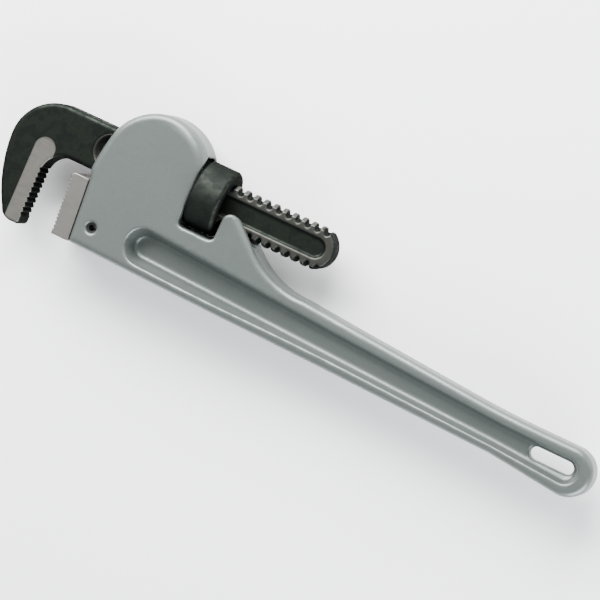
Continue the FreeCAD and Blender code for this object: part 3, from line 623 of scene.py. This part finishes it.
@dataclass
class HookJaw(Piece):
    """The forged hook jaw with its threaded shank; steel is bare where it was milled beside the teeth.

    Attributes:
        tooth_x: the toothed face.
        strip_width: bare strip's width beside the teeth.
        strip_over: how far the strip runs past the teeth.
        strip_crown_y: where the strip's round top begins.
        strip_level: height of the strip's floor from the middle plane.
        crest_radius: the thread's crests.
        crest_worn: how bare the crests are rubbed, 0 to 1.
        body_edge: radius of the forging's outer edges.
        thread_end: where the thread runs out before the shank's rounded end.
        shank_level: height of the shank's flat sides from the middle plane.
        shank_from: where the bare flat sides begin.
        shank_bare: how bare those sides are, 0 to 1.
        face_level: the neck's side face from the middle plane.
        channel_left: toothed face to the channel's left end.
        channel_half: half the channel's width on the neck.
        channel_depth: its depth.
        slope_run: width of the sloped ring.
        ring_width: width of the ring on the sloped wall that gets the painted highlight, mm.
        ring_painted_highlight: how much of the milled finish is painted on it as a highlight, 0 to 1.
        slope_until: where the slope fades, hidden in the housing at rest.
    """

    tooth_x: float = -100.2
    strip_width: float = 10.3
    strip_over: float = 3.4
    strip_crown_y: float = -14.2
    strip_level: float = 8.45
    crest_radius: float = 13.3
    crest_worn: float = 0.35
    body_edge: float = 1.0
    thread_end: float = 72.0
    shank_level: float = 7.35
    shank_from: float = -37.0
    shank_bare: float = 0.26
    face_level: float = 8.75
    channel_left: float = 24.3
    channel_half: float = 10.6
    channel_depth: float = 3.0
    slope_run: float = 4.0
    ring_width: float = 3.4
    ring_painted_highlight: float = 0.3
    slope_until: float = -53.0

    def solid(self) -> Shell:
        """The forging: soft edges on the hook and neck, crisp teeth, strip and thread."""
        raw = Shell.of_node(self.node, self.datum)
        crisp = raw.edges_rounded(self.voxel, self.edge)
        soft = raw.corners_filled(self.voxel, self.corner).edges_rounded(self.voxel, self.body_edge)
        low = np.floor(raw.points.min(0) / self.voxel).astype(int) - 6
        size = np.ceil(raw.points.max(0) / self.voxel).astype(int) + 6 - low
        fields = []
        for shell in (crisp, soft):
            values = np.zeros(tuple(int(n) for n in size), np.float32)
            shell.field(self.voxel, self.voxel).copyToArray(values, ijk=tuple(int(n) for n in low))
            fields.append(values)
        x, y, z = (((np.arange(n) + low[i]) * self.voxel) for i, n in enumerate(size))
        x, y = x[:, None, None], y[None, :, None]
        toothed = self._step(x, self.tooth_x - self.strip_width - 1.5, 1.5) * self._step(-y, 8.0, 2.0)
        toothed = toothed * self._step(-x, -(self.tooth_x + self.strip_over + 2), 2.0)
        threaded = self._step(np.abs(y) + 0 * x, self.crest_radius - 3.4, 1.0) * self._step(x, -40.0, 2.0)
        share = np.clip(toothed + threaded, 0, 1)
        mixed = fields[0] * share + fields[1] * (1 - share)
        grid = openvdb.FloatGrid(self.voxel * 4)
        grid.copyFromArray(np.ascontiguousarray(mixed, np.float32), ijk=tuple(int(n) for n in low))
        grid.transform = openvdb.createLinearTransform(voxelSize=self.voxel)
        points, quads = grid.convertToQuads(0.0)
        shell = Shell(np.ascontiguousarray(points, np.float32), np.zeros((0, 3), np.uint32),
                      np.ascontiguousarray(quads, np.uint32))
        return self._sloped_channel(shell.relaxed(self.passes))

    def _sloped_channel(self, shell: Shell) -> Shell:
        """Lays the walls of the channel's round end on the neck back to a slope.

        Args:
            shell: the forging.

        Returns:
            The forging with a sloped ring round the channel's end.
        """
        points = shell.points.astype(np.float64)
        x, y, z = points.T
        middle = self.tooth_x + self.channel_left + self.channel_half
        inside = self.channel_half - np.hypot(np.minimum(x - middle, 0), y)
        share = self._step(-x, -self.slope_until, 3.0)
        wanted = self.face_level - self.channel_depth * self._step(inside, -0.3, self.slope_run)
        moving = (inside > -0.3) & (np.abs(z) < self.face_level) & (
            np.abs(z) > self.face_level - self.channel_depth - 0.6)
        lift = np.where(moving, np.maximum(wanted - np.abs(z), 0) * share, 0)
        points[:, 2] = z + lift * np.sign(z)
        return Shell(points.astype(np.float32), shell.triangles, shell.quads)

    @staticmethod
    def _step(value: np.ndarray, start: float, run: float) -> np.ndarray:
        """Rises smoothly from 0 to 1 as a value passes start over a run."""
        share = np.clip((value - start) / run, 0, 1)
        return share * share * (3 - 2 * share)

    def material(self) -> bpy.types.Material:
        """Black oxide with the bare steel where it was milled or rubbed, and a painted highlight of it on the
        channel's ring.
        """
        return make_material(self.finish, MILLED, Mask.BARE_AND_PAINTED_HIGHLIGHT)

    def paint(self, mesh: bpy.types.Mesh, points: np.ndarray) -> None:
        """Marks the milled strips as bare, the crests and the flat sides as rubbed, and the channel's ring
        with a painted highlight.

        Args:
            mesh: the piece's mesh.
            points: its points in the wrench's own axes, mm.
        """
        x, y, z = points[:, 0], points[:, 1], np.abs(points[:, 2])
        normals = np.zeros(len(points) * 3, np.float32)
        mesh.vertices.foreach_get("normal", normals)
        facing = np.abs(normals.reshape(-1, 3)[:, 2])
        middle_x = self.tooth_x + (self.strip_over - self.strip_width) / 2
        half = (self.strip_over + self.strip_width) / 2
        over = np.hypot(x - middle_x, np.maximum(y - self.strip_crown_y, 0)) - half
        in_strip = self._step(-over, 0.0, 0.35)
        on_floor = self._step(z, self.strip_level - 0.5, 0.3) * self._step(facing, 0.55, 0.35)
        strip = in_strip * on_floor * self._step(-x, -(self.tooth_x + self.strip_over), 0.3)
        crest = self._step(np.hypot(y, points[:, 2]), self.crest_radius - 0.5, 0.4) * (x > self.shank_from)
        crest = crest * self._step(-x, -self.thread_end, 1.5)
        middle = self.tooth_x + self.channel_left + self.channel_half
        inside = self.channel_half - np.hypot(np.minimum(x - middle, 0), y)
        # The sloped ring at the channel's end gets part of the milled finish as a painted highlight, where
        # its slope catches the light.
        ring = self._step(inside, -0.4, 0.5) * self._step(-inside, -self.ring_width, 0.8) * self.ring_painted_highlight
        ring = ring * self._step(z, self.face_level - self.channel_depth - 0.8, 0.4)
        ring = ring * self._step(-x, -self.slope_until, 3.0)
        flats = self._step(z, self.shank_level - 0.45, 0.3) * self._step(facing, 0.5, 0.4) * self.shank_bare
        flats = flats * self._step(x, self.shank_from, 1.5)
        # The mask adds the painted highlight on the ring to the bare and rubbed steel.
        bare = np.clip(strip + np.maximum(crest * self.crest_worn, flats) + ring, 0, 1)
        layer = mesh.attributes.new(Mask.BARE_AND_PAINTED_HIGHLIGHT.value, "FLOAT", "POINT")
        layer.data.foreach_set("value", bare.astype(np.float32))


@dataclass
class AdjustingNut(Piece):
    """The turned nut with its inner thread and chamfered ends."""


@dataclass
class HeelJaw(Piece):
    """The ground steel jaw with fine teeth."""


@dataclass
class FlatSpring(Piece):
    """The leaf on the neck's back. It bends from its rivet to where it touches the rocking neck.

    Attributes:
        rivet_x: its rivet. Not used.
        touch_x: where it touches the neck. Not used.
        neck_y: the neck's back. Not used.
    """

    rivet_x: float = -22.0
    touch_x: float = -48.0
    neck_y: float = 14.6

    def attach(self, thing: bpy.types.Object) -> None:
        """Bakes the leaf's place into its points, leaving it fixed to no body."""
        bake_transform(thing)


@dataclass
class CoilSpring(Piece):
    """The coil under the neck, squeezed between its hole and the neck."""

    def attach(self, thing: bpy.types.Object) -> None:
        """Bakes the coil's place into its points, leaving it fixed to no body."""
        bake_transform(thing)


@dataclass
class SmallFastener:
    """A small CAD piece shown as it is, with its finish.

    Attributes:
        node: the CAD node.
        finish: its finish.
    """

    node: str
    finish: Finish

    def build(self) -> bpy.types.Object:
        """Gives the CAD node its material and returns it."""
        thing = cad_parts[self.node]
        thing.data.materials.clear()
        thing.data.materials.append(make_material(self.finish))
        LOG.info("%s: dressed", self.node)
        return thing


# ------------------------------------------------------------------------------------------- stage


@dataclass(frozen=True)
class Lamp:
    """A soft rectangular studio light aimed at the wrench.

    Attributes:
        name: its name.
        way: direction from the wrench, along the camera's right, up and back axes.
        distance: how far away, m.
        width: its width, m.
        height: its height, m.
        power: watts.
        colour: sRGB hex.
    """

    name: str
    way: tuple[float, float, float]
    distance: float
    width: float
    height: float
    power: float
    colour: str


@dataclass
class Studio:
    """The pale floor, the soft lights and the camera.

    Attributes:
        datum: the wrench's origin in the scene, metres.
        aim: the point looked at, mm in the wrench's axes.
        back: direction from that point to the camera.
        right: the picture's right.
        distance: camera's distance, mm.
        view_angle: degrees across the picture.
        floor: sRGB hex of the floor.
        floor_reach: half the floor's width, m.
        room: sRGB hex of the soft light all round.
        world: its strength.
        lamps: the lights.
    """

    datum: Vector
    aim: tuple[float, float, float] = (73.9, -32.3, 0.0)
    back: tuple[float, float, float] = (0.22784, 0.10383, 0.96815)
    right: tuple[float, float, float] = (0.88098, 0.40148, -0.25038)
    distance: float = 2229.9
    view_angle: float = 9.0
    floor: str = "f8f8f8"
    floor_reach: float = 6.0
    room: str = "f3f5f6"
    world: float = 0.8
    lamps: Sequence[Lamp] = (
        Lamp("key", (-0.25, 1.0, 0.6), 1.3, 1.6, 0.8, 115, "ffffff"),
        Lamp("fill", (0.3, -1.0, 0.45), 1.6, 1.4, 1.0, 75, "f6faff"),
        Lamp("edge", (1.0, 0.35, 0.5), 1.4, 0.5, 1.0, 8, "ffffff"),
    )

    def axes(self) -> tuple[Vector, Vector, Vector]:
        """The camera's right, up and back directions."""
        back = Vector(self.back).normalized()
        right = Vector(self.right)
        right = (right - back * right.dot(back)).normalized()
        return right, back.cross(right), back

    def build(self) -> None:
        """Builds the whole stage."""
        right, up, back = self.axes()
        target = self.datum + Vector(self.aim) * MM
        self._camera(target, right, up, back)
        for lamp in self.lamps:
            way = (right * lamp.way[0] + up * lamp.way[1] + back * lamp.way[2]).normalized()
            self._light(lamp, target, way)
        self._floor(target)
        world = bpy.data.worlds.new("soft_room")
        world.use_nodes = True
        bpy.context.scene.world = world
        glow = world.node_tree.nodes["Background"]
        glow.inputs["Color"].default_value = hex_colour(self.room)
        glow.inputs["Strength"].default_value = self.world
        LOG.info("stage: floor, camera and %d lights", len(self.lamps))

    def _camera(self, target: Vector, right: Vector, up: Vector, back: Vector) -> None:
        """Places the camera square to the view.

        Args:
            target: the point looked at.
            right: the picture's right.
            up: the picture's up.
            back: from the target to the camera.
        """
        data = bpy.data.cameras.new("camera")
        data.lens = data.sensor_width / 2 / math.tan(math.radians(self.view_angle / 2))
        data.clip_end = 20
        camera = bpy.data.objects.new("camera", data)
        bpy.context.scene.collection.objects.link(camera)
        matrix = Matrix((right, up, back)).transposed().to_4x4()
        matrix.translation = target + back * self.distance * MM
        camera.matrix_world = matrix
        bpy.context.scene.camera = camera

    def _light(self, lamp: Lamp, target: Vector, way: Vector) -> None:
        """Places one light, facing the wrench.

        Args:
            lamp: the light.
            target: the point it faces.
            way: the direction from that point to the light.
        """
        data = bpy.data.lights.new(lamp.name, "AREA")
        data.shape = "RECTANGLE"
        data.size, data.size_y = lamp.width, lamp.height
        data.energy = lamp.power
        data.color = hex_colour(lamp.colour)[:3]
        light = bpy.data.objects.new(lamp.name, data)
        bpy.context.scene.collection.objects.link(light)
        turn = way.to_track_quat("Z", "Y").to_matrix().to_4x4()
        light.matrix_world = Matrix.Translation(target + way * lamp.distance) @ turn

    def _floor(self, target: Vector) -> None:
        """Lays the plain pale floor under the wrench.

        Args:
            target: the point that the floor is centred under.
        """
        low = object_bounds()[0]
        mesh = bpy.data.meshes.new("floor")
        turns = ((-1, -1), (1, -1), (1, 1), (-1, 1))
        corners = [(target.x + i * self.floor_reach, target.y + j * self.floor_reach, low.z)
                   for i, j in turns]
        mesh.from_pydata(corners, [], [(0, 1, 2, 3)])
        floor = bpy.data.objects.new("floor", mesh)
        bpy.context.scene.collection.objects.link(floor)
        paper = bpy.data.materials.new("pale_paper")
        paper.use_nodes = True
        skin = paper.node_tree.nodes["Principled BSDF"]
        skin.inputs["Base Color"].default_value = hex_colour(self.floor)
        skin.inputs["Roughness"].default_value = 0.95
        skin.inputs["Specular IOR Level"].default_value = 0.1
        mesh.materials.append(paper)
        floor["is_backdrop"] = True


def wrench_datum() -> Vector:
    """The wrench's origin in the scene, from the nut's place."""
    low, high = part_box("adjusting_nut")
    return (low + high) / 2 - Vector((NUT_MIDDLE_X, 0, 0)) * MM


def main() -> None:
    """Builds every piece in order, then the stage."""
    logging.basicConfig(level=logging.INFO, format="%(name)s %(message)s")
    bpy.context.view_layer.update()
    datum = wrench_datum()
    detail = 1.0
    pieces: list[Piece | SmallFastener] = [
        CastHandle(datum, "handle", Body.HANDLE, ENAMEL, voxel=0.5 * detail, edge=1.3, corner=1.6, passes=4),
        HookJaw(datum, "hook_jaw", Body.HOOK, BLACK_OXIDE, voxel=0.32 * detail, edge=0.3, corner=1.2),
        AdjustingNut(datum, "adjusting_nut", Body.NUT, NUT_OXIDE, voxel=0.25 * detail, edge=0.9, passes=3),
        HeelJaw(datum, "heel_jaw", Body.HANDLE, GROUND, voxel=0.22 * detail, edge=0.22, passes=1),
        FlatSpring(datum, "flat_spring", Body.HANDLE, SPRING_STEEL, voxel=0.16 * detail, edge=0.2, passes=1),
        CoilSpring(datum, "coil_spring", Body.SEAT, SPRING_STEEL, voxel=0.12 * detail, edge=0.15, passes=1),
        SmallFastener("heel_jaw_pin", PIN_STEEL),
        SmallFastener("flat_spring_rivet", PIN_STEEL),
    ]
    for piece in pieces:
        piece.build()
    Studio(datum).build()


if __name__ == "__main__":
    main()
